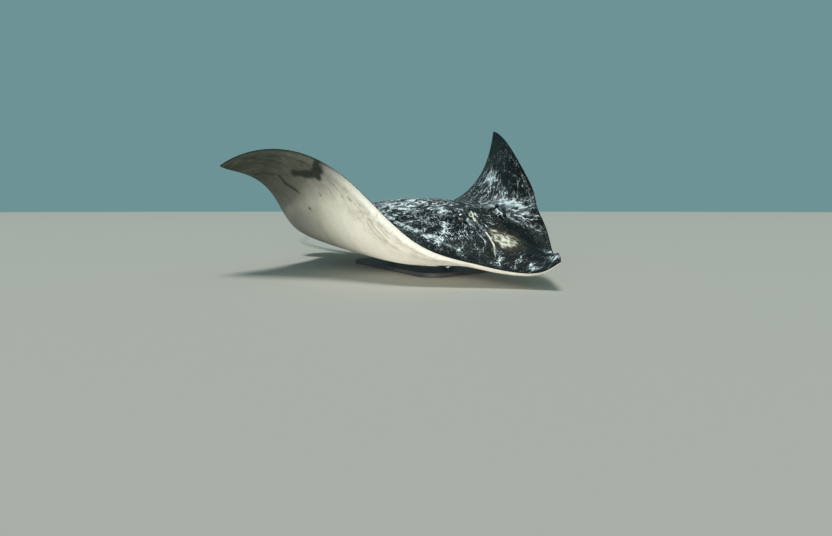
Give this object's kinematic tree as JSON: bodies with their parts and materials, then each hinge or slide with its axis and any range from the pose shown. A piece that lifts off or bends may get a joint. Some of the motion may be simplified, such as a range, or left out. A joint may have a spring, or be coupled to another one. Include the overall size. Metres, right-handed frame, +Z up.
{
  "type": "stingray model",
  "caption": "Life-size southern stingray gliding with both wings raised, whip tail and barbed spine, held just above the floor by a low stand with short rods.",
  "frame": {"origin": "centre of the stand base's underside, which rests on the floor", "axes": "+Z up; the animal heads along -Y; its left side is +X and its tail trails along +Y"},
  "size_m": [0.9273, 2.1294, 0.4114],
  "materials": {
    "skin": "wet slate-grey back with pale flecks, creamy white belly",
    "spine": "bone",
    "eye": "wet, dark brown with a crescent pupil",
    "stand_paint": "satin, near black",
    "stand_steel": "brushed"
  },
  "bodies": {
    "root": {"head": "skin", "trunk": "skin", "pectoral_fin_left": "skin", "pectoral_fin_right": "skin", "pelvic_fin_left": "skin", "pelvic_fin_right": "skin", "tail_base": "skin", "tail_middle": "skin", "tail_whip": "skin", "tail_fold": "skin", "tail_spine": "spine", "eye_left": "eye", "eye_right": "eye", "stand_base": "stand_paint", "stand_rod_front": "stand_steel", "stand_rod_rear": "stand_steel"}
  },
  "joints": []
}
